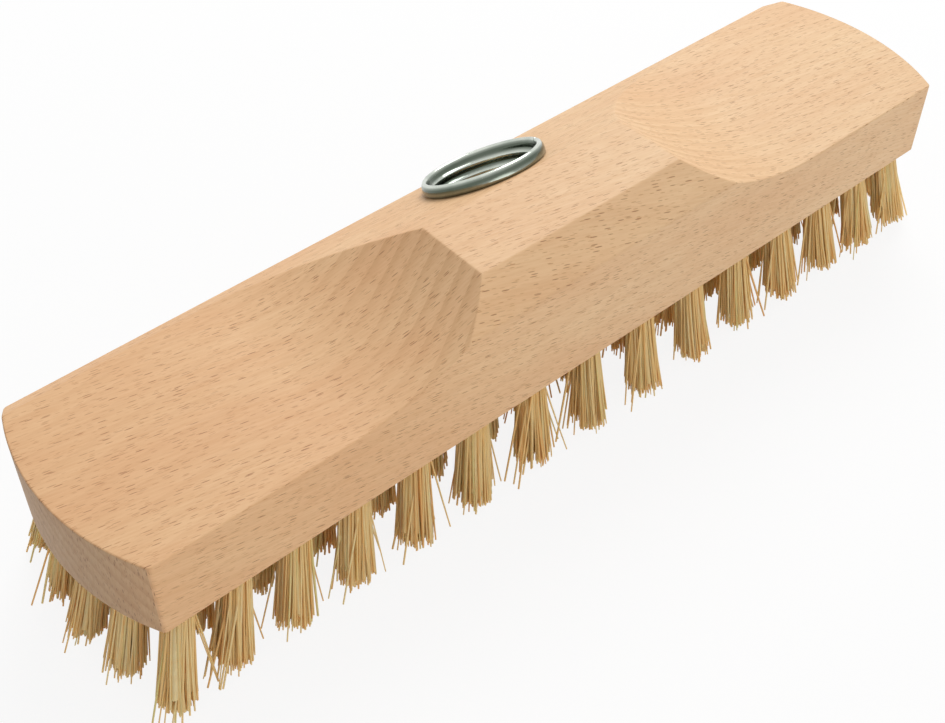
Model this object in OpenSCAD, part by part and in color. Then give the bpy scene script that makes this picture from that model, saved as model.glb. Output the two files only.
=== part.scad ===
// Scrubbing brush head: beech block with fanned fibre tufts and a rolled steel handle socket.
// Millimetres. The brush stands on its trimmed tips at z = 0, its length along X.
// The long front wall faces -Y, and the slope with the handle socket falls towards +Y.

/* [Block] */
// Length of the block over its bowed ends
block_l = 226; // [200:1:260]
// Width of the block
block_w = 51; // [48:0.5:58]
// Thickness of the block at its flat top
block_h = 32; // [31:0.5:38]
// Thickness of the low ends
end_h = 18.75; // [15:0.25:22]
// Radius of the bowed ends, seen from above
end_arc_r = 54; // [35:1:90]
// Radius of the upright corners where the ends meet the long walls
corner_r = 2; // [0.5:0.5:6]
// Height of the front wall, up to the chamfer
front_h = 25.5; // [20:0.5:28]
// Height of the back wall, up to the slope
back_h = 16; // [14:0.5:20]
// Depth of the front chamfer, from the front wall to the flat top
chamfer_w = 8; // [4:0.5:10]
// Width of the flat top, from front to back
top_w = 17.5; // [12:0.5:20]
// Length of the flat top between the two end scoops
top_l = 54; // [44:1:80]
// Radius of the cutter that scoops the ends
scoop_r = 60; // [45:1:80]

/* [Tufts] */
// Free length of the bristles below the block
bristle_l = 24; // [16:0.5:32]
// Number of tufts in each row, from front to back
row_counts = [15, 16, 15, 16, 15];
// How much closer the outer rows stand near their ends
row_crowding = [0.1, 0, 0, 0, 0.1];
// Diameter of a tuft hole
hole_d = 6; // [4.5:0.1:6.5]
// Depth of a tuft hole
hole_depth = 6.5; // [5:0.25:7]
// Distance of the outer hole centres from the long walls
side_inset = 4.8; // [4:0.1:7]
// Distance of each row's last hole centre from the bowed end
end_inset = 7.8; // [5:0.1:12]
// How far a tip stands outward along the brush, per mm of its hole's place
fan_x = 0.055; // [0:0.005:0.08]
// How far a tip stands outward across the brush, per mm of its hole's place
fan_y = 0.2; // [0:0.01:0.25]

/* [Strands] */
// Strands in each tuft
strands = 6; // [5:1:6]
// Distance of a strand's inner edge from the tuft's axis at the block
strand_in = 0.4; // [0.2:0.1:0.8]
// How far the strands' corners stand in from the bundle's flats at the block
strand_margin = 0.15; // [0.1:0.05:0.5]
// Gap between neighbouring strands at the block
strand_gap = 0.5; // [0.3:0.05:1]
// Angle at which the strands spread from the tuft's axis
spread = 4.8; // [1:0.2:6]
// Length cut off flat where the bristles meet the floor
trim = 0.5; // [0:0.1:1]
// Most that a strand falls short of the trimmed tips
ragged = 1.6; // [0:0.1:3]

/* [Anchors] */
// Height of the flat wire that pins a tuft
anchor_h = 1.8; // [1:0.1:2.5]
// Thickness of the flat wire
anchor_t = 0.5; // [0.3:0.05:0.8]

/* [Handle socket] */
// Outer diameter of the rolled rim
rim_d = 28; // [26.4:0.1:29]
// Diameter of the mouth inside the rim
mouth_d = 24; // [23:0.1:25]
// Height of the rim above the slope
rim_h = 2.8; // [1.6:0.1:3.4]
// Outer diameter of the sleeve
sleeve_d = 24.6; // [23:0.1:25.4]
// Inner diameter of the sleeve, at the crests of the handle thread
thread_d = 22.4; // [20:0.1:22.6]
// Depth of the sleeve below the slope
sleeve_depth = 11.5; // [8:0.25:12]
// Distance of the socket's axis from the ridge, measured down the slope
socket_drop = 14.2; // [13:0.1:16]
// Height over which the mouth narrows to the thread
lead_in = 1; // [0.4:0.1:2]
// Gap between the two ends of the rolled rim
seam_w = 0.5; // [0.3:0.1:1]

/* [Fits] */
// Clearance between a piece and the hole that holds it
fit_gap = 0.05; // [0.02:0.01:0.1]
// Room left below the sleeve by the drill
drill_room = 0.6; // [0.3:0.1:1.5]

/* [Hidden] */

over = 2;
embed = 0.8;
plug_sides = 6;
bead_steps = 10;

front_y = -block_w / 2;
back_y = block_w / 2;
top_z = bristle_l + block_h;
land_z = bristle_l + end_h;
ridge_y = front_y + chamfer_w + top_w;

slope_angle = atan2(block_h - back_h, back_y - ridge_y);
socket_y = ridge_y + socket_drop * cos(slope_angle);
socket_z = top_z - socket_drop * sin(slope_angle);

end_arc_x = block_l / 2 - end_arc_r;
corner_y = block_w / 2 - corner_r;
corner_x = end_arc_x + sqrt(pow(end_arc_r - corner_r, 2) - corner_y * corner_y);
scoop_rise = block_h - end_h;
scoop_x = top_l / 2 + sqrt(scoop_r * scoop_r - pow(scoop_r - scoop_rise, 2));

rows = len(row_counts);
outer_row_y = block_w / 2 - side_inset;
plug_r = hole_d / 2 - fit_gap;
strand_r = plug_r * cos(180 / plug_sides) - strand_margin;
strand_angle = 180 / strands - asin(strand_gap / 2 / strand_r);

wood = [0.85, 0.66, 0.46];
zinc = [0.62, 0.65, 0.64];
wire = [0.5, 0.5, 0.52];
fibre = [0.9, 0.8, 0.52];

// Half the length of the block at a distance y from its middle line
function half_length(y) = end_arc_x + sqrt(end_arc_r * end_arc_r - y * y);

function row_y(row) = outer_row_y * (2 * (row - 1) / (rows - 1) - 1);

// Hole centres run evenly from -1 to 1, and are then pushed towards the ends by the crowding
function along(row, i) = 2 * i / (row_counts[row - 1] - 1) - 1;
function crowded(t, c) = t + c * (t - t * t * t);
function hole_x(row, i) =
    (half_length(row_y(row)) - end_inset) * crowded(along(row, i), row_crowding[row - 1]);

// Shortfall of strand k in a tuft, the same in mirrored places
function shortfall(row, i, k) =
    ragged * ((k % 3 + min(i, row_counts[row - 1] - 1 - i) + min(row, rows + 1 - row)) % 3) / 2;

// Places its children at a tuft's hole: z = 0 at the mouth and +Z into the wood
module at_hole(row, i) {
    x = hole_x(row, i);
    y = row_y(row);
    translate([x, y, bristle_l])
        rotate([atan2(fan_y * y, norm([bristle_l, fan_x * x])), -atan2(fan_x * x, bristle_l), 0])
            children();
}

function slant(row, i) = norm([bristle_l, fan_x * hole_x(row, i), fan_y * row_y(row)]);

// Places its children on the slope: z = 0 on the wood and +Z along the handle
module at_socket() {
    translate([0, socket_y, socket_z])
        rotate([-slope_angle, 0, 0])
            children();
}

// Front wall, chamfer, flat top and slope, drawn across the block
module cross_section() {
    polygon([
        [front_y, bristle_l],
        [back_y, bristle_l],
        [back_y, bristle_l + back_h],
        [ridge_y, top_z],
        [front_y + chamfer_w, top_z],
        [front_y, bristle_l + front_h]
    ]);
}

// Straight sides, bowed ends and round corners, seen from above
module bowed_plan() {
    translate([0, 0, bristle_l - over]) union() {
        translate([-corner_x, front_y - over, 0])
            cube([2 * corner_x, block_w + 2 * over, block_h + 2 * over]);
        for (side = [0, 1]) mirror([side, 0, 0]) {
            bowed_end();
            for (y = [-corner_y, corner_y])
                translate([corner_x, y, 0])
                    cylinder(r = corner_r, h = block_h + 2 * over, $fn = 96);
        }
    }
}

// The end's big arc, between its tangent points with the two corner rounds
module bowed_end() {
    reach = 2 * [corner_x - end_arc_x, corner_y];
    intersection() {
        translate([end_arc_x, 0, 0])
            cylinder(r = end_arc_r, h = block_h + 2 * over, $fn = 360);
        translate([end_arc_x, 0, 0])
            linear_extrude(block_h + 2 * over)
                polygon([[0, 0], [reach.x, -reach.y], reach]);
    }
}

// The round cutter's path: down from the flat top, then level to the end
module end_scoop() {
    translate([scoop_x, 0, land_z + scoop_r])
        rotate([90, 0, 0])
            cylinder(r = scoop_r, h = block_w + 2 * over, center = true, $fn = 360);
    translate([scoop_x, front_y - over, land_z])
        cube([block_l, block_w + 2 * over, block_h]);
}

module wood_block() {
    color(wood) difference() {
        intersection() {
            rotate([90, 0, 90])
                translate([0, 0, -block_l / 2])
                    linear_extrude(block_l)
                        cross_section();
            bowed_plan();
        }
        end_scoop();
        mirror([1, 0, 0]) end_scoop();
        at_socket()
            translate([0, 0, -sleeve_depth - drill_room])
                cylinder(d = sleeve_d + 2 * fit_gap, h = sleeve_depth + drill_room + rim_h + over, $fn = 96);
        for (row = [1 : rows], i = [0 : row_counts[row - 1] - 1])
            at_hole(row, i)
                translate([0, 0, -over])
                    cylinder(d = hole_d, h = hole_depth + over, $fn = 32);
    }
}

// Sleeve and rolled rim, from the thread outward: the rim's top is a half round
module handle_socket() {
    bead_r = (rim_d - mouth_d) / 4;
    bead_mid = (rim_d + mouth_d) / 4;
    bead = [for (i = [0 : bead_steps]) let (a = 180 * i / bead_steps)
        [bead_mid + bead_r * cos(a), rim_h - bead_r + bead_r * sin(a)]];
    profile = concat(
        [
            [thread_d / 2, -lead_in / 2],
            [thread_d / 2, -sleeve_depth],
            [sleeve_d / 2, -sleeve_depth],
            [sleeve_d / 2, 0],
            [rim_d / 2, 0]
        ],
        bead,
        [[mouth_d / 2, lead_in / 2]]
    );
    color(zinc) at_socket() difference() {
        rotate_extrude($fn = 96) polygon(profile);
        translate([sleeve_d / 2 - over, -seam_w / 2, lead_in / 2])
            cube([rim_d / 2, seam_w, rim_h]);
    }
}

// One fibre strand, a wedge that leans away from the tuft's axis
module strand(length) {
    face = strand_r * cos(strand_angle);
    half = strand_r * sin(strand_angle);
    rotate([0, -spread, 0])
        translate([0, 0, -length])
            linear_extrude(length + embed)
                polygon([[strand_in, 0], [face, -half], [face, half]]);
}

// A folded tuft: the bundle in its hole, slotted for the wire, and the strands below it
module tuft(row, i) {
    at_hole(row, i) {
        difference() {
            cylinder(r = plug_r, h = hole_depth, $fn = plug_sides);
            translate([0, 0, hole_depth - anchor_h / 2 + over / 2])
                cube([2 * hole_d, anchor_t + 2 * fit_gap, anchor_h + over], center = true);
        }
        for (k = [0 : strands - 1])
            rotate([0, 0, 360 * k / strands])
                strand(slant(row, i) + trim - shortfall(row, i, k));
    }
}

module tuft_row(row) {
    color(fibre) difference() {
        for (i = [0 : row_counts[row - 1] - 1])
            tuft(row, i);
        translate([-block_l, -block_w, -bristle_l])
            cube([2 * block_l, 2 * block_w, bristle_l]);
    }
}

// Flat wires that lie across the bottoms of one row's holes
module anchor_row(row) {
    color(wire)
        for (i = [0 : row_counts[row - 1] - 1])
            at_hole(row, i)
                translate([0, 0, hole_depth - anchor_h / 2])
                    cube([hole_d - 4 * fit_gap, anchor_t, anchor_h], center = true);
}

wood_block();
handle_socket();
tuft_row(1);  // tuft_row_1
tuft_row(2);  // tuft_row_2
tuft_row(3);  // tuft_row_3
tuft_row(4);  // tuft_row_4
tuft_row(5);  // tuft_row_5
anchor_row(1);  // anchor_row_1
anchor_row(2);  // anchor_row_2
anchor_row(3);  // anchor_row_3
anchor_row(4);  // anchor_row_4
anchor_row(5);  // anchor_row_5
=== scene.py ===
import math
import bpy
import numpy as np
from mathutils import Matrix, Vector


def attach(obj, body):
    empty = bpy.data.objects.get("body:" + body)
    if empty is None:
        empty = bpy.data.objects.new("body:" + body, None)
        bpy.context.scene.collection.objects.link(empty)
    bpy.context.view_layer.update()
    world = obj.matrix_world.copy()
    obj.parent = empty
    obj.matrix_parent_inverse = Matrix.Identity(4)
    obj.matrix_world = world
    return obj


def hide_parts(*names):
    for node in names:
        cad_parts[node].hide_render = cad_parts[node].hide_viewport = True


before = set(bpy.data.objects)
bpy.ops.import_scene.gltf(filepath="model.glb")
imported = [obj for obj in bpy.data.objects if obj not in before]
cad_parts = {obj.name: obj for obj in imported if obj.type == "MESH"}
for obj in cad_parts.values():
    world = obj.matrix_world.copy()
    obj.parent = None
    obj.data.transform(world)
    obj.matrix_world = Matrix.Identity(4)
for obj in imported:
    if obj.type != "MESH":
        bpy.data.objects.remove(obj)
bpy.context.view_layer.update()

MM = 0.001

# Camera: above the left end of the front wall, looking along the brush, on a normal to long lens.
# The brush fills the width of a 945 by 723 picture.
lens_mm = 53.64
turn, tilt, roll = math.radians(-41.63), math.radians(45.37), math.radians(0.75)
camera = bpy.data.objects.new("camera", bpy.data.cameras.new("camera"))
camera.data.lens = lens_mm
camera.data.sensor_width = 36
camera.data.shift_y = -0.0077
camera.data.clip_start = 0.01
camera.matrix_world = (
    Matrix.Translation((-0.15812, -0.16268, 0.23278))
    @ Matrix.Rotation(turn, 4, "Z")
    @ Matrix.Rotation(math.pi / 2 - tilt, 4, "X")
    @ Matrix.Rotation(roll, 4, "Z")
)
bpy.context.collection.objects.link(camera)
bpy.context.scene.camera = camera

# Studio: white paper in a white room that is brighter overhead and on the right, with a large soft
# lamp high behind the right end and a wide one low in front. The block's left faces are in shade.
lamps = (("key_lamp", 4.3, 0.55, Vector((0.42, 0.38, 0.66))),
         ("front_lamp", 3.2, 0.9, Vector((-0.1, -0.9, 0.06))))
lamps_aim = Vector((0, 0, 0.03))
room_light = 0.54
low_share, overhead_share = 0.75, 1.15
left_share, right_share = 0.6, 1.25
# Share of the paper that shows as plain white backdrop. The rest takes light and shadow.
paper_glow = 0.88
floor_size = 12


def linear(code):
    """An sRGB hex colour as the linear RGBA that a socket takes."""
    values = [int(code[i:i + 2], 16) / 255 for i in (1, 3, 5)]
    return [v / 12.92 if v < 0.04045 else ((v + 0.055) / 1.055) ** 2.4 for v in values] + [1]


def add(tree, kind, settings=None, inputs=None):
    """Adds a node. An input is a value, a socket, or a node, whose first open output it takes."""
    node = tree.nodes.new(kind)
    for name, value in (settings or {}).items():
        setattr(node, name, value)
    for key, value in (inputs or {}).items():
        if isinstance(key, int):
            socket = node.inputs[key]
        else:
            socket = next(s for s in node.inputs if s.enabled and s.name == key)
        if isinstance(value, bpy.types.Node):
            value = next(s for s in value.outputs if s.enabled)
        if isinstance(value, bpy.types.NodeSocket):
            tree.links.new(value, socket)
        else:
            socket.default_value = value
    return node


def calc(tree, operation, a, b=0.0, c=0.0):
    """One sum on up to three values."""
    return add(tree, "ShaderNodeMath", {"operation": operation}, {0: a, 1: b, 2: c})


def remap(tree, value, low, high, to_low=0.0, to_high=1.0, smooth=False):
    """A value between low and high, stretched to lie between to_low and to_high."""
    return add(tree, "ShaderNodeMapRange",
               {"interpolation_type": "SMOOTHSTEP" if smooth else "LINEAR"},
               {"Value": value, "From Min": low, "From Max": high, "To Min": to_low, "To Max": to_high})


def seen_share(tree):
    """1 for rays that show the backdrop: straight from the camera, off metal and through fibre."""
    ray = add(tree, "ShaderNodeLightPath").outputs
    direct = calc(tree, "MAXIMUM", ray["Is Camera Ray"], ray["Is Glossy Ray"])
    return calc(tree, "MAXIMUM", direct, ray["Is Transmission Ray"])


def new_material(name):
    """An empty node material and its tree."""
    material = bpy.data.materials.new(name)
    material.use_nodes = True
    material.node_tree.nodes.clear()
    return material, material.node_tree


def mesh_object(name, vertices, faces, material=None):
    """A mesh object at the origin, from points in millimetres."""
    mesh = bpy.data.meshes.new(name)
    mesh.from_pydata([tuple(c * MM for c in v) for v in vertices], [], faces)
    if material:
        mesh.materials.append(material)
    obj = bpy.data.objects.new(name, mesh)
    bpy.context.collection.objects.link(obj)
    return obj


for name, watts, size, place in lamps:
    lamp = bpy.data.objects.new(name, bpy.data.lights.new(name, "AREA"))
    lamp.data.energy = watts
    lamp.data.shape = "DISK"
    lamp.data.size = size
    lamp.location = place
    lamp.rotation_euler = (lamps_aim - place).to_track_quat("-Z", "Y").to_euler()
    bpy.context.collection.objects.link(lamp)

world = bpy.data.worlds.new("white_room")
bpy.context.scene.world = world
world.use_nodes = True
tree = world.node_tree
tree.nodes.clear()
way = add(tree, "ShaderNodeSeparateXYZ", None, {0: add(tree, "ShaderNodeTexCoord").outputs["Generated"]})
by_height = remap(tree, way.outputs["Z"], -0.1, 0.9, low_share, overhead_share)
by_side = remap(tree, way.outputs["X"], -1.0, 1.0, left_share * room_light, right_share * room_light)
strength = add(tree, "ShaderNodeMix", {"data_type": "FLOAT"},
               {"Factor": seen_share(tree), "A": calc(tree, "MULTIPLY", by_height, by_side), "B": 1.0})
light = add(tree, "ShaderNodeBackground", None, {"Color": linear("#FFFFFF"), "Strength": strength})
add(tree, "ShaderNodeOutputWorld", None, {"Surface": light})

paper, tree = new_material("matt_white_paper")
# Matt white paper takes the brush's shadow softly and otherwise goes over into the white room.
matt = add(tree, "ShaderNodeBsdfDiffuse", None, {"Color": linear("#F4F4F4")})
glow = add(tree, "ShaderNodeEmission", None, {"Color": linear("#FFFFFF"), "Strength": 1.0})
share = calc(tree, "MULTIPLY", seen_share(tree), paper_glow)
surface = add(tree, "ShaderNodeMixShader", None, {0: share, 1: matt, 2: glow})
add(tree, "ShaderNodeOutputMaterial", None, {"Surface": surface})
half = floor_size / MM / 2
floor = mesh_object("floor", [(-half, -half, 0), (half, -half, 0), (half, half, 0), (-half, half, 0)],
                    [(0, 1, 2, 3)], paper)

# Block: one length of steamed beech, milled to a house-shaped section, bowed at the ends on the
# spindle, scooped by a round cutter at both ends, drilled for 77 tufts and bored for the handle
# socket, then sanded, which leaves its edges just soft.
block_l, block_w, block_h = 226, 51, 32
bristle_l = 24
end_h, front_h, back_h = 18.75, 25.5, 16
end_arc_r, corner_r = 54, 1
chamfer_w, top_w, top_l = 8, 17.5, 54
scoop_r = 60
edge_r, base_edge_r = 0.35, 0.3
edge_degrees = (30, 60, 90)
wall_shares = (0.12, 0.5, 0.88, 1)
crease = 0.25
crease_steps = (0.12, 0.3, 0.7)

front_y, back_y = -block_w / 2, block_w / 2
ridge_y = front_y + chamfer_w + top_w
crest_y = front_y + chamfer_w
top_z, land_z = bristle_l + block_h, bristle_l + end_h
rise = block_h - end_h
scoop_x = top_l / 2 + math.sqrt(scoop_r ** 2 - (scoop_r - rise) ** 2)
end_arc_x = block_l / 2 - end_arc_r
corner_y = block_w / 2 - corner_r
corner_x = end_arc_x + math.sqrt((end_arc_r - corner_r) ** 2 - corner_y ** 2)
low_slope_y = ridge_y + rise / (block_h - back_h) * (back_y - ridge_y)


def soft_min(a, b):
    """The lower of two heights, eased over where they cross."""
    near = max(crease - abs(a - b), 0) / crease
    return min(a, b) - near * near * crease / 4


def section_height(y):
    """Height of the chamfer, the flat top and the slope."""
    chamfer = bristle_l + front_h + (y - front_y) * (block_h - front_h) / chamfer_w
    slope = top_z - (y - ridge_y) * (block_h - back_h) / (back_y - ridge_y)
    return soft_min(soft_min(top_z, chamfer), slope)


def scoop_height(x):
    """Height that the round cutter leaves at a distance x from the middle."""
    reach = scoop_x - abs(x)
    if reach <= 0:
        return land_z
    if reach >= scoop_r:
        return land_z + scoop_r
    return land_z + scoop_r - math.sqrt(scoop_r ** 2 - reach ** 2)


def block_height(x, y):
    """Height of the finished top."""
    return soft_min(section_height(y), scoop_height(x))


def crossing(y):
    """Distance from the middle at which the cutter leaves the milled section."""
    down = land_z + scoop_r - section_height(y)
    return scoop_x - math.sqrt(max(scoop_r ** 2 - down ** 2, 0)) if down > 0 else scoop_x


def half_length(y, inset):
    """Half the block's length at y, on an outline drawn in from the real one."""
    big, small = end_arc_r - inset, corner_r - inset
    touch = corner_y * big / (end_arc_r - corner_r)
    if abs(y) <= touch:
        return end_arc_x + math.sqrt(big ** 2 - y ** 2)
    return corner_x + math.sqrt(max(small ** 2 - (abs(y) - corner_y) ** 2, 0))


def outward(x, y, inset):
    """The outline's normal at one of its points."""
    ax, ay = abs(x), abs(y)
    if ax < corner_x + 1e-4:
        nx, ny = 0, 1
    elif ay > corner_y * (end_arc_r - inset) / (end_arc_r - corner_r):
        nx, ny = ax - corner_x, ay - corner_y
    else:
        nx, ny = ax - end_arc_x, ay
    size = math.hypot(nx, ny)
    return math.copysign(nx / size, x), math.copysign(ny / size, y)


def stations(low, high, marks, step):
    """Places from low to high, close together at each mark."""
    places = set(np.round(np.linspace(low, high, int((high - low) / step) + 1), 4))
    for mark in marks:
        near = {round(mark + side * d, 4) for d in (0, *crease_steps) for side in (-1, 1)}
        places = {p for p in places if abs(p - mark) > 1.2 or p in (low, high)} | near
    return sorted(p for p in places if low - 1e-6 <= p <= high + 1e-6)


# The grid across the block is close at its creases and follows the round corners of the ends.
inner_y = block_w / 2 - edge_r
corner_ys = [round(corner_y + (corner_r - edge_r) * math.sin(math.radians(a)), 4) for a in (0, 25, 50, 70)]
ys = [y for y in stations(-inner_y, inner_y, [crest_y, ridge_y, low_slope_y], 1.7)
      if abs(y) < corner_y - 0.3 or abs(y) > inner_y - 1e-3 or abs(y - low_slope_y) < 0.9]
ys = sorted(set(ys + corner_ys + [-y for y in corner_ys]))

columns = []
for y in ys:
    cross, end = crossing(y), half_length(y, edge_r)
    small, middle, large = crease_steps
    side = (list(np.linspace(0, cross - large, 16))
            + [cross - middle, cross - small, cross, cross + small, cross + middle]
            + list(np.linspace(cross + large, end, 36)))
    columns.append([-x for x in side[:0:-1]] + side)

wide, deep = len(columns[0]), len(ys)
vertices = [(x, y, block_height(x, y)) for y, row in zip(ys, columns) for x in row]
vertices += [(x, y, bristle_l) for y, row in zip(ys, columns) for x in row]
faces = []
for j in range(deep - 1):
    for i in range(wide - 1):
        a = j * wide + i
        b = a + wide * deep
        faces.append((a, a + 1, a + wide + 1, a + wide))
        faces.append((b, b + wide, b + wide + 1, b + 1))


def ring_of(points):
    """Adds a ring of points to the block and returns their numbers."""
    first = len(vertices)
    vertices.extend(points)
    return range(first, len(vertices))


# Rings go from the top's border down over the soft edge, the wall and the soft base edge.
rim = list(range(wide)) + [j * wide + wide - 1 for j in range(1, deep)]
rim += [(deep - 1) * wide + i for i in range(wide - 2, -1, -1)]
rim += [j * wide for j in range(deep - 2, 0, -1)]
normals = [outward(*vertices[index][:2], edge_r) for index in rim]
rings = [rim]
for degrees in edge_degrees:
    angle = math.radians(degrees)
    points = []
    for index, (ox, oy) in zip(rim, normals):
        x = vertices[index][0] + ox * edge_r * math.sin(angle)
        y = vertices[index][1] + oy * edge_r * math.sin(angle)
        points.append((x, y, block_height(x, y) - edge_r * (1 - math.cos(angle))))
    rings.append(ring_of(points))
wall_top = [vertices[index] for index in rings[-1]]
for share in wall_shares:
    rings.append(ring_of([(x, y, z + (bristle_l + base_edge_r - z) * share) for x, y, z in wall_top]))
for degrees in edge_degrees:
    angle = math.radians(degrees)
    inset = base_edge_r * (1 - math.cos(angle))
    low = bristle_l + base_edge_r * (1 - math.sin(angle))
    rings.append(ring_of([(x - ox * inset, y - oy * inset, low)
                          for (x, y, z), (ox, oy) in zip(wall_top, normals)]))
rings.append([index + wide * deep for index in rim])
for upper, lower in zip(rings, rings[1:]):
    for a in range(len(rim)):
        b = (a + 1) % len(rim)
        faces.append((upper[a], lower[a], lower[b], upper[b]))


def blend(tree, share, under, over, kind="MIX"):
    """One colour laid over another by a share. Each is a hex code or a node."""
    under, over = (linear(c) if isinstance(c, str) else c for c in (under, over))
    return add(tree, "ShaderNodeMix", {"data_type": "RGBA", "blend_type": kind},
               {"Factor": share, "A": under, "B": over})


beech, tree = new_material("steamed_beech_sanded")
# Steamed beech is pink-tan and even, with growth layers about 3 mm apart that show as faint
# bands, and with rays that show as fine dark flecks up to 2 mm long. The grain runs out of the
# block by about 12 degrees. Cut ends are darker and duller than the sides.
layer_mm = 3.3
pith = (0, 0.143, -0.13)
fleck_cells = (((3.8, 0.37, 2.4), 0.27), ((2.6, 0.28, 1.9), 0.28))

where = add(tree, "ShaderNodeTexCoord").outputs["Object"]
true_normal = add(tree, "ShaderNodeNewGeometry").outputs["True Normal"]
facing = add(tree, "ShaderNodeSeparateXYZ", None, {0: true_normal})
grain = add(tree, "ShaderNodeMapping", None,
            {"Vector": where, "Rotation": (0, math.radians(-12.4), math.radians(11.6))})
# The grain wavers by a few millimetres.
drift = add(tree, "ShaderNodeTexNoise", None, {"Vector": grain, "Scale": 22, "Detail": 2})
bent = add(tree, "ShaderNodeVectorMath", {"operation": "MULTIPLY_ADD"},
           {0: drift.outputs["Color"], 1: (0.0, 0.006, 0.006), 2: grain})

# The rays' cells are thin across the grain and deep into the face, so each face that looks up or
# to the side cuts them at their full length.
from_top = add(tree, "ShaderNodeMapping", None,
               {"Vector": where, "Rotation": (0, 0, math.radians(12.4))})
from_side = add(tree, "ShaderNodeMapping", None,
                {"Vector": where, "Rotation": (math.radians(90), 0, math.radians(-14))})
on_wall = remap(tree, calc(tree, "ABSOLUTE", facing.outputs["Y"]), 0.68, 0.74, smooth=True)
ray_at = add(tree, "ShaderNodeMix", {"data_type": "VECTOR"},
             {"Factor": on_wall, "A": from_top, "B": from_side})
flecks = []
for cell, reach in fleck_cells:
    spaced = add(tree, "ShaderNodeMapping", None,
                 {"Vector": ray_at, "Scale": tuple(1 / (c * MM) for c in cell)})
    cells = add(tree, "ShaderNodeTexVoronoi", {"voronoi_dimensions": "3D", "feature": "F1"},
                {"Vector": spaced, "Scale": 1.0, "Randomness": 1.0})
    depth = add(tree, "ShaderNodeSeparateXYZ", None, {0: cells.outputs["Color"]})
    mark = remap(tree, cells.outputs["Distance"], reach, reach * 0.75, smooth=True)
    flecks.append(calc(tree, "MULTIPLY", mark, depth.outputs["X"]))
long_fleck, short_fleck = flecks

# Growth layers are rings round the pith, which lies outside the block.
axis = add(tree, "ShaderNodeVectorMath", {"operation": "ADD"}, {0: bent, 1: pith})
across = add(tree, "ShaderNodeVectorMath", {"operation": "MULTIPLY"}, {0: axis, 1: (0, 1, 1)})
radius = add(tree, "ShaderNodeVectorMath", {"operation": "LENGTH"}, {0: across})
layer = calc(tree, "FRACT", calc(tree, "DIVIDE", radius.outputs["Value"], layer_mm * MM))
late_wood = remap(tree, layer, 0.3, 0.95, smooth=True)

streak_at = add(tree, "ShaderNodeMapping", None, {"Vector": ray_at, "Scale": (160, 2600, 500)})
streak = add(tree, "ShaderNodeTexNoise", None, {"Vector": streak_at, "Scale": 1.0, "Detail": 3})
cloud_at = add(tree, "ShaderNodeMapping", None, {"Vector": grain, "Scale": (18, 70, 70)})
cloud = add(tree, "ShaderNodeTexNoise", None, {"Vector": cloud_at, "Scale": 1.0, "Detail": 2})
end_on = calc(tree, "ABSOLUTE", facing.outputs["X"])
place = add(tree, "ShaderNodeSeparateXYZ", None, {0: where})

tone = blend(tree, remap(tree, cloud, 0.3, 0.7), "#EAC79B", "#E4BA8D")
tone = blend(tree, remap(tree, streak, 0.35, 0.75, 0.0, 0.35), tone, "#D2A070")
bared = remap(tree, end_on, 0.1, 0.6, 0.1, 0.3, smooth=True)
tone = blend(tree, calc(tree, "MULTIPLY", late_wood, bared), tone, "#C08C5C")
tone = blend(tree, calc(tree, "MULTIPLY", short_fleck, 0.7), tone, "#B88252")
tone = blend(tree, calc(tree, "MULTIPLY", long_fleck, 0.85), tone, "#986338")
# The colour is a little darker and warmer toward the left end, and duller where it is cut across.
warm = remap(tree, place.outputs["X"], 0.03, -0.08, smooth=True)
tone = blend(tree, warm, tone, "#FFF5EC", "MULTIPLY")
cut_end = remap(tree, end_on, 0.7, 1.0, 0.0, 0.55, smooth=True)
tone = blend(tree, cut_end, tone, "#A4ADB4", "MULTIPLY")

dents = calc(tree, "MULTIPLY_ADD", long_fleck, -0.6, streak)
bump = add(tree, "ShaderNodeBump", None, {"Height": dents, "Strength": 0.25, "Distance": 0.00012})
surface = add(tree, "ShaderNodeBsdfPrincipled", None,
              {"Base Color": tone, "Roughness": remap(tree, streak, 0.3, 0.7, 0.52, 0.62),
               "IOR": 1.5, "Normal": bump})
add(tree, "ShaderNodeOutputMaterial", None, {"Surface": surface})

hole_d, hole_depth, hole_sides = 6, 6.5, 28
side_inset, end_inset = 4.8, 7.8
# The outer rows crowd their tufts a little toward the ends.
row_counts = [15, 16, 15, 16, 15]
row_crowding = [0.1, 0, 0, 0, 0.1]
fan_x, fan_y = 0.055, 0.2
bore_r, bore_depth, bore_sides = 12.35, 12.1, 96
above_hole, above_bore = 2, 8
socket_drop = 14.2
slope_angle = math.atan2(block_h - back_h, back_y - ridge_y)
socket_y = ridge_y + socket_drop * math.cos(slope_angle)
socket_z = top_z - socket_drop * math.sin(slope_angle)
socket_place = Matrix.Translation((0, socket_y, socket_z)) @ Matrix.Rotation(-slope_angle, 4, "X")


def tuft_holes(row):
    """Centres of one row's hole mouths, numbered as the CAD rows are."""
    count, crowding = row_counts[row - 1], row_crowding[row - 1]
    y = (block_w / 2 - side_inset) * (2 * (row - 1) / (len(row_counts) - 1) - 1)
    reach = half_length(y, 0) - end_inset
    places = []
    for i in range(count):
        t = 2 * i / (count - 1) - 1
        places.append((reach * (t + crowding * (t - t ** 3)), y, bristle_l))
    return places


def drill(place, radius, low, high, sides):
    """Points and faces of a round cutter between two heights along its own axis."""
    points, skin = [], []
    for z in (low, high):
        for k in range(sides):
            angle = 2 * math.pi * k / sides
            points.append(place @ Vector((radius * math.cos(angle), radius * math.sin(angle), z)))
    for k in range(sides):
        n = (k + 1) % sides
        skin.append((k, n, n + sides, k + sides))
    skin.append(tuple(range(sides - 1, -1, -1)))
    skin.append(tuple(range(sides, 2 * sides)))
    return points, skin


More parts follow.
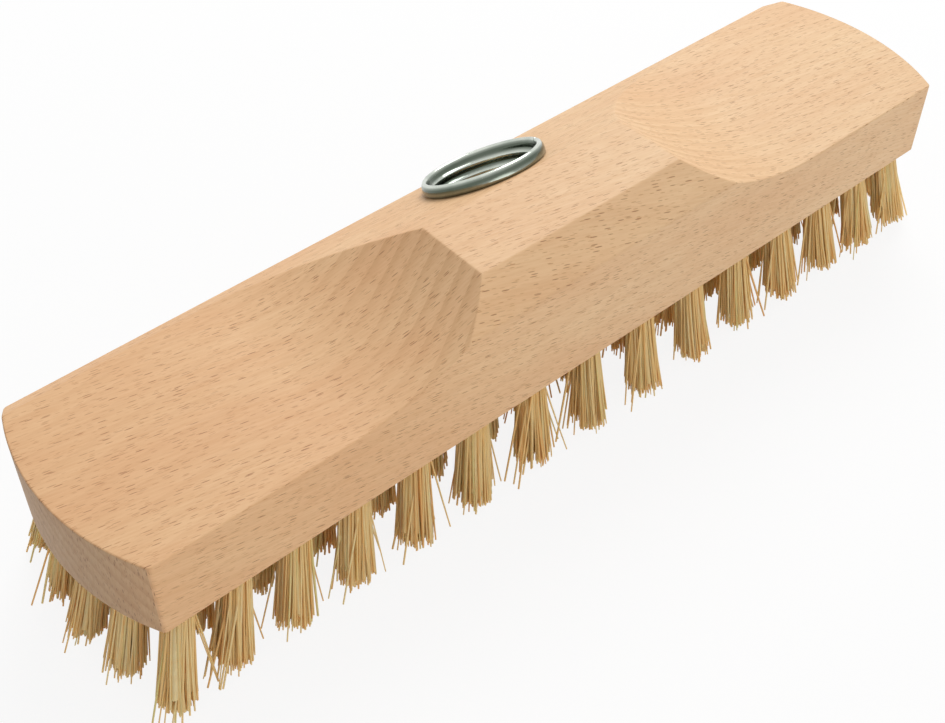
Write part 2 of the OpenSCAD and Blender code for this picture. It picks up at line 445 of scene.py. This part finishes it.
cut_points, cut_faces = drill(socket_place, bore_r, -bore_depth, above_bore, bore_sides)
for row in range(1, len(row_counts) + 1):
    for x, y, z in tuft_holes(row):
        into = Vector((-fan_x * x, -fan_y * y, bristle_l)).to_track_quat("Z", "Y").to_matrix().to_4x4()
        points, skin = drill(Matrix.Translation((x, y, z)) @ into, hole_d / 2, -above_hole, hole_depth,
                             hole_sides)
        start = len(cut_points)
        cut_points += points
        cut_faces += [tuple(start + v for v in f) for f in skin]
cutter = mesh_object("cutter", cut_points, cut_faces, beech)
block = mesh_object("beech_block", vertices, faces, beech)
cut = block.modifiers.new("drilled", "BOOLEAN")
cut.operation = "DIFFERENCE"
cut.solver = "EXACT"
cut.object = cutter


def plain_mesh(obj):
    """The mesh that an object's modifiers make."""
    return bpy.data.meshes.new_from_object(obj.evaluated_get(bpy.context.evaluated_depsgraph_get()))


def settle(obj, sharp_degrees):
    """Turns what the modifiers make into a plain smooth mesh, sharp where it bends more."""
    shaped = plain_mesh(obj)
    obj.modifiers.clear()
    obj.data = shaped
    shaped.polygons.foreach_set("use_smooth", [True] * len(shaped.polygons))
    shaped.set_sharp_from_angle(angle=math.radians(sharp_degrees))
    weigh = obj.modifiers.new("even_normals", "WEIGHTED_NORMAL")
    weigh.keep_sharp = True
    obj.data = plain_mesh(obj)
    obj.modifiers.clear()
    bpy.data.meshes.remove(shaped)


settle(block, 38)
bpy.data.objects.remove(cutter)
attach(block, "root")
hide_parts("wood_block")

# Handle socket: a strip of bright zinc-plated sheet steel, rolled into a sleeve with a coarse
# round thread and a turned-over rim, and pressed into the bore. The strip's ends meet in a seam.
rim_d, mouth_d, rim_h = 27.4, 24, 2.8
sleeve_d, thread_d, sleeve_depth = 24.6, 22.4, 11.5
thread_pitch, thread_depth, thread_start = 2.3, 0.75, math.radians(326)
thread_step = 0.2
seam_turn, seam_half, seam_dip = math.radians(-20), 0.3, 0.35
outer_r, mouth_r, sleeve_r = rim_d / 2, mouth_d / 2, sleeve_d / 2

# The rim's half round, from its foot on the wood over the top to the throat: how far inside the
# outer radius, and how high.
bead = [(outer_r - inset, z) for inset, z in (
    (0.6, 0.0), (0.25, 0.12), (0.05, 0.4), (0, 0.8), (0.02, 1.4), (0.1, 1.85), (0.24, 2.25),
    (0.42, 2.55), (0.66, 2.74), (0.92, rim_h), (1.16, 2.72), (1.34, 2.52), (1.46, 2.24),
    (1.6, 1.8), (1.85, 1.3))]
outside = [(sleeve_r, -sleeve_depth), (sleeve_r, -8), (sleeve_r, -4), (sleeve_r, -0.3)]
inside = [1.0 - thread_step * k for k in range(int((sleeve_depth + 1.0) / thread_step) + 1)]
inside.append(-sleeve_depth)
seam_sides = {359.2, 358.6, 0.8, 1.4}
turns = sorted({round(a, 3) for a in np.linspace(0, 358, 180)} | seam_sides)


def bead_painted_light(r, z):
    """How much of the clean colour the rim keeps: all on its top, some on the band below it and at the
    foot, and little in the painted dark reflection under the top and in the painted shade of the throat.
    """
    if z > 2.5:
        return 1
    return 0.4 if z > 2 or (z < 1 and r > mouth_r + 1) else 0.1


vertices, faces, painted_light = [], [], []
for turn_deg in turns:
    angle = math.radians(turn_deg) + seam_turn
    from_seam = math.radians(min(turn_deg, 360 - turn_deg)) * outer_r
    open_share = max(1 - from_seam / seam_half, 0)
    dip = seam_dip * open_share
    ring = list(outside)
    ring += [(r - dip * (r > outer_r - 0.7), z - dip * (z > 2)) for r, z in bead]
    # The sleeve's outside, hidden in the bore, is given low painted light.
    painted_light += [0.1] * len(outside)
    # Where the strip's ends meet, the rim fades out to painted shade at the seam.
    painted_light += [(1 - open_share) * bead_painted_light(r, z) for r, z in bead]
    # Below the rim the throat narrows from the mouth to the thread.
    for z in inside:
        ease = min(max((1.6 - z) / 0.9, 0), 1)
        wave = 0.5 - 0.5 * math.cos(2 * math.pi * (-z / thread_pitch + turn_deg / 360) + thread_start)
        ring.append((mouth_r + ease * (thread_d / 2 + thread_depth * wave - mouth_r), z))
        # The throat and the thread's grooves are painted shade, darkest in the grooves. The crests keep
        # most of the clean colour.
        painted_light.append(0.12 + ease * (0.85 - 0.95 * wave))
    vertices += [socket_place @ Vector((r * math.cos(angle), r * math.sin(angle), z)) for r, z in ring]
count = len(outside) + len(bead) + len(inside)
for a in range(len(turns)):
    b = (a + 1) % len(turns)
    for k in range(count):
        n = (k + 1) % count
        faces.append((a * count + k, b * count + k, b * count + n, a * count + n))

zinc, tree = new_material("bright_zinc_plate")
# Bright zinc plate is a cold white metal with a faint green cast. Its clean colour is blended toward a
# dark green-grey where the painted light is low: painted shade in the throat, the thread's grooves and the
# seam, and a painted dark reflection in a band round the rim under its top. The rim's top and the thread's
# crests keep the clean colour.
spot = add(tree, "ShaderNodeTexCoord").outputs["Object"]
marks = add(tree, "ShaderNodeTexNoise", None,
            {"Vector": spot, "Scale": 900, "Detail": 4, "Roughness": 0.6})
patches = add(tree, "ShaderNodeTexNoise", None, {"Vector": spot, "Scale": 160, "Detail": 2})
painted_light_value = add(tree, "ShaderNodeAttribute", {"attribute_name": "painted_light"})
clean = blend(tree, remap(tree, patches, 0.35, 0.65), "#D5DAD0", "#BCC4BA")
# Where the painted light is low, the metal takes this dark green-grey: painted shade and painted dark
# reflection.
tint = blend(tree, painted_light_value.outputs["Fac"], "#3F4A3C", clean)
ripple = add(tree, "ShaderNodeBump", None, {"Height": marks, "Strength": 0.2, "Distance": 0.0001})
surface = add(tree, "ShaderNodeBsdfPrincipled", None,
              {"Base Color": tint, "Metallic": 1.0, "Normal": ripple,
               "Roughness": remap(tree, marks, 0.35, 0.7, 0.12, 0.28)})
add(tree, "ShaderNodeOutputMaterial", None, {"Surface": surface})

socket = mesh_object("socket_shell", vertices, faces, zinc)
socket.data.attributes.new("painted_light", "FLOAT", "POINT").data.foreach_set("value", painted_light)
settle(socket, 60)
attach(socket, "root")
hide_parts("handle_socket")

# Anchors: short lengths of flat drawn wire, driven across each hole's bottom with the tuft.
# They are hidden in the block, and keep their CAD shape.
wire, tree = new_material("flat_drawn_wire")
# Drawn steel wire is dull grey with fine lines along it.
lines_at = add(tree, "ShaderNodeMapping", None,
               {"Vector": add(tree, "ShaderNodeTexCoord").outputs["Object"], "Scale": (200, 8000, 8000)})
lines = add(tree, "ShaderNodeTexNoise", None, {"Vector": lines_at, "Scale": 1.0, "Detail": 2})
surface = add(tree, "ShaderNodeBsdfPrincipled", None,
              {"Base Color": blend(tree, lines, "#8E9092", "#B4B6B8"), "Metallic": 1.0,
               "Roughness": remap(tree, lines, 0.3, 0.7, 0.3, 0.5)})
add(tree, "ShaderNodeOutputMaterial", None, {"Surface": surface})
for row in range(1, len(row_counts) + 1):
    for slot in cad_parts[f"anchor_row_{row}"].material_slots:
        slot.material = wire

# Tufts: pale plant fibre, cut in lengths, folded in half over the anchor wire and trimmed on the
# floor line. The holes lean outward, so the outer tufts fan out, and the ends stay ragged.
fibres, fibre_d = 165, 0.5
bundle_r = 2.75
# The fibres spring back a little from the lean of their holes.
lean_y = 0.15
spread, ragged = 0.34, 4.4
floor_gap, hole_gap = 0.2, 0.3
half_steps = 4
hole_part = 1 / half_steps
clump_push, sway_push, loose_push = 3.0, 2.4, 0.55
stray_above, stray_reach = 0.955, 6.5
stuck_share, stuck_inward, stuck_short, stuck_extra = 0.06, 0.3, 2.2, 2.4

fibre, tree = new_material("bleached_plant_fibre")
# Bleached plant fibre is cream to straw yellow, a few strands deeper, with thin long streaks.
# It lets some light through, so a tuft is bright all round. Toward the root, under the block, it is
# painted a little deeper and warmer: painted shade.
strand_tone = add(tree, "ShaderNodeAttribute", {"attribute_name": "strand_tone"})
strand_way = add(tree, "ShaderNodeAttribute", {"attribute_name": "strand_way"})
ramp = add(tree, "ShaderNodeValToRGB", None, {0: strand_tone.outputs["Fac"]})
colours = ramp.color_ramp.elements
colours[0].color = linear("#FBD28C")
for position, code in ((0.2, "#FDE2A0"), (0.55, "#FFE9AC"), (0.85, "#FFF1C0")):
    colours.new(position).color = linear(code)
colours[-1].color = linear("#F4EAA8")
streaks = add(tree, "ShaderNodeTexNoise", None,
              {"Vector": add(tree, "ShaderNodeTexCoord").outputs["Object"], "Scale": 700, "Detail": 2})
tone = blend(tree, remap(tree, streaks, 0.4, 0.75, 0.0, 0.4), ramp, "#FBDC98")
# Painted shade: toward the root, under the block, the strands are blended toward a deeper, warmer straw.
root_painted_shade = remap(tree, strand_way.outputs["Fac"], 0.0, 0.45, 0.5, 0.0)
tone = blend(tree, root_painted_shade, tone, "#FAD68C")
skin = add(tree, "ShaderNodeBsdfPrincipled", None, {"Base Color": tone, "Roughness": 0.55, "IOR": 1.4})
through = add(tree, "ShaderNodeBsdfTranslucent", None, {"Color": tone})
surface = add(tree, "ShaderNodeMixShader", None, {0: 0.3, 1: skin, 2: through})
add(tree, "ShaderNodeOutputMaterial", None, {"Surface": surface})

growth = bpy.data.node_groups.new("folded_tufts", "GeometryNodeTree")
entries = growth.interface
entries.new_socket("Geometry", in_out="OUTPUT", socket_type="NodeSocketGeometry")
entries.new_socket("Geometry", in_out="INPUT", socket_type="NodeSocketGeometry")
identifiers = {}
for label, kind, value in (
    ("Folded fibres", "NodeSocketInt", fibres),
    ("Fibre diameter", "NodeSocketFloat", fibre_d * MM),
    ("Bundle radius", "NodeSocketFloat", bundle_r * MM),
    ("Free length", "NodeSocketFloat", bristle_l * MM),
    ("Depth in the hole", "NodeSocketFloat", (hole_depth - hole_gap) * MM),
    ("Fan along", "NodeSocketFloat", fan_x),
    ("Fan across", "NodeSocketFloat", lean_y),
    ("Spread", "NodeSocketFloat", spread),
    ("Ragged ends", "NodeSocketFloat", ragged * MM),
    ("Seed", "NodeSocketInt", 0),
):
    entry = entries.new_socket(label, in_out="INPUT", socket_type=kind)
    entry.default_value = value
    identifiers[label] = entry.identifier
given = growth.nodes.new("NodeGroupInput").outputs


def number(operation, a, b=0.0, c=0.0):
    """One sum on the tufts' values."""
    return calc(growth, operation, a, b, c)


def chance(identity, draw, low=0.0, high=1.0):
    """A random number that stays the same for one strand or one of its two legs."""
    seed = number("ADD", given["Seed"], float(draw))
    return add(growth, "FunctionNodeRandomValue", {"data_type": "FLOAT"},
               {"Min": low, "Max": high, "ID": identity, "Seed": seed})


def keep(geometry, kind, name, value):
    """Keeps a value on the points under a name."""
    return add(growth, "GeometryNodeStoreNamedAttribute", {"data_type": kind, "domain": "POINT"},
               {"Geometry": geometry, "Name": name, "Value": value})


def kept(name):
    """A whole number that the points keep under a name."""
    return add(growth, "GeometryNodeInputNamedAttribute", {"data_type": "INT"},
               {"Name": name}).outputs["Attribute"]


def push(at, scale, detail):
    """The parts along x, y and z of a smooth push that changes from place to place."""
    noise = add(growth, "ShaderNodeTexNoise", None, {"Vector": at, "Scale": scale, "Detail": detail})
    centred = add(growth, "ShaderNodeVectorMath", {"operation": "SUBTRACT"},
                  {0: noise.outputs["Color"], 1: (0.5, 0.5, 0.5)})
    return add(growth, "ShaderNodeSeparateXYZ", None, {0: centred}).outputs


# Each hole's point becomes as many strands as are folded in it, and each strand 9 points.
dots = add(growth, "GeometryNodeMeshToPoints", None, {"Mesh": given["Geometry"]})
many = add(growth, "GeometryNodeDuplicateElements", {"domain": "POINT"},
           {"Geometry": dots, "Amount": given["Folded fibres"]})
named = keep(many.outputs["Geometry"], "INT", "strand", add(growth, "GeometryNodeInputIndex"))
along = add(growth, "GeometryNodeDuplicateElements", {"domain": "POINT"},
            {"Geometry": named, "Amount": 2 * half_steps + 1})
stepped = keep(along.outputs["Geometry"], "INT", "step", along.outputs["Duplicate Index"])
strand, step = kept("strand"), kept("step")
hole = add(growth, "GeometryNodeInputPosition")
hole_at = add(growth, "ShaderNodeSeparateXYZ", None, {0: hole}).outputs

# A strand runs from one tip, at path -1, over the anchor at 0 to the other tip at 1. The first
# part on either side of the anchor stands in the hole, the rest is free.
path = number("SUBTRACT", number("DIVIDE", step, float(half_steps)), 1.0)
side = number("SIGN", path)
away = number("ABSOLUTE", path)
leg = number("MULTIPLY_ADD", strand, 2.0, number("GREATER_THAN", path, 0.0))
past_hole = number("SUBTRACT", away, hole_part)
free = number("MAXIMUM", number("MULTIPLY", past_hole, 1 / (1 - hole_part)), 0.0)
sunk = number("MINIMUM", number("MULTIPLY", away, 1 / hole_part), 1.0)

# A few strands are stuck bundles: thicker, shorter and nearer the tuft's middle.
stuck = number("LESS_THAN", chance(strand, 12), stuck_share)
reach = number("MULTIPLY", given["Bundle radius"], number("SQRT", chance(strand, 1)))
reach = number("MULTIPLY", reach, number("MULTIPLY_ADD", stuck, -stuck_inward, 1.0))
bearing = chance(strand, 2, 0.0, math.pi)
root_x = number("MULTIPLY_ADD", chance(leg, 3, -1.0, 1.0), 0.3 * MM,
                number("MULTIPLY", reach, number("COSINE", bearing)))
root_y = number("MULTIPLY", number("MULTIPLY", reach, number("SINE", bearing)), side)

# Neighbouring strands cling in clumps, whole tufts sway a little, and a few strands stray.
clump_at = add(growth, "ShaderNodeCombineXYZ", None,
               {0: number("ADD", hole_at["X"], root_x), 1: number("ADD", hole_at["Y"], root_y),
                2: number("MULTIPLY", given["Seed"], 0.01)})
clump, sway = push(clump_at, 650, 1), push(hole, 150, 0)
curl = number("POWER", free, 1.7)
strays = number("GREATER_THAN", number("SUBTRACT", chance(leg, 4), stuck), stray_above)
stray = number("MULTIPLY", strays, chance(leg, 5, -stray_reach, stray_reach))
widen = number("MULTIPLY", given["Spread"], chance(leg, 6, 0.75, 1.25))
flare = number("MULTIPLY_ADD", widen, free, 1.0)


def offset(root, fan, axis, draw, stray_share):
    """How far a point of a strand stands from its hole along x or y."""
    lean = number("MULTIPLY", number("MULTIPLY", hole_at[axis], fan), free)
    loose = number("MULTIPLY", chance(leg, draw, -1.0, 1.0), loose_push * MM)
    total = number("MULTIPLY_ADD", root, flare, lean)
    total = number("MULTIPLY_ADD", number("MULTIPLY", clump[axis], clump_push * MM), curl, total)
    total = number("MULTIPLY_ADD", number("MULTIPLY", sway[axis], sway_push * MM), free, total)
    total = number("MULTIPLY_ADD", loose, curl, total)
    return number("MULTIPLY_ADD", number("MULTIPLY", stray, stray_share * MM), free, total)


off_x = offset(root_x, given["Fan along"], "X", 7, 1.0)
off_y = offset(root_y, given["Fan across"], "Y", 8, 0.12)
uneven = number("MULTIPLY_ADD", number("POWER", chance(leg, 9), 1.5), 0.6,
                number("MULTIPLY_ADD", clump["Z"], 0.9, 0.3))
short = number("MULTIPLY_ADD", stuck, stuck_short * MM, number("MULTIPLY", given["Ragged ends"], uneven))
not_stray = number("LESS_THAN", number("ABSOLUTE", stray), 0.001)
short = number("MULTIPLY", number("MAXIMUM", short, 0.1 * MM), not_stray)
free_way = number("SUBTRACT", number("SUBTRACT", given["Free length"], floor_gap * MM), short)
up = number("MULTIPLY", number("SUBTRACT", 1.0, sunk), given["Depth in the hole"])
height = number("SUBTRACT", up, number("MULTIPLY", free, free_way))
moved = add(growth, "ShaderNodeCombineXYZ", None,
            {0: off_x, 1: number("MULTIPLY", off_y, sunk), 2: height})
placed = add(growth, "GeometryNodeSetPosition", None, {"Geometry": stepped, "Offset": moved})
placed = keep(placed, "FLOAT", "strand_tone", chance(leg, 10))
placed = keep(placed, "FLOAT", "strand_way", free)

# Strands taper toward their tips, and each becomes a four-sided tube.
strands = add(growth, "GeometryNodePointsToCurves", None,
              {"Points": placed, "Curve Group ID": strand, "Weight": step})
thick = number("MULTIPLY", number("MULTIPLY", given["Fibre diameter"], 0.5),
               number("MULTIPLY_ADD", stuck, stuck_extra, 1.0))
taper = number("MULTIPLY", chance(leg, 11, 0.75, 1.25), number("MULTIPLY_ADD", free, -0.3, 1.0))
outline = add(growth, "GeometryNodeCurvePrimitiveCircle", {"mode": "RADIUS"},
              {"Resolution": 4, "Radius": 1.0})
tubes = add(growth, "GeometryNodeCurveToMesh", None,
            {"Curve": strands, "Profile Curve": outline, "Scale": number("MULTIPLY", thick, taper),
             "Fill Caps": True})
real = add(growth, "GeometryNodeRealizeInstances", None, {"Geometry": tubes})
dressed = add(growth, "GeometryNodeSetMaterial", None, {"Geometry": real, "Material": fibre})
add(growth, "NodeGroupOutput", None, {0: dressed})

for row in range(1, len(row_counts) + 1):
    tufts = mesh_object(f"fibre_tufts_row_{row}", tuft_holes(row), [])
    grow = tufts.modifiers.new("tufts", "NODES")
    grow.node_group = growth
    grow[identifiers["Seed"]] = 100 * row
    grown = plain_mesh(tufts)
    tufts.modifiers.clear()
    tufts.data = grown
    grown.polygons.foreach_set("use_smooth", [True] * len(grown.polygons))
    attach(tufts, "root")
    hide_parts(f"tuft_row_{row}")

# Light reaches the inner strands of a tuft only after many bounces between the outer ones.
bpy.context.scene.cycles.diffuse_bounces = 12
bpy.context.scene.view_settings.view_transform = "Standard"
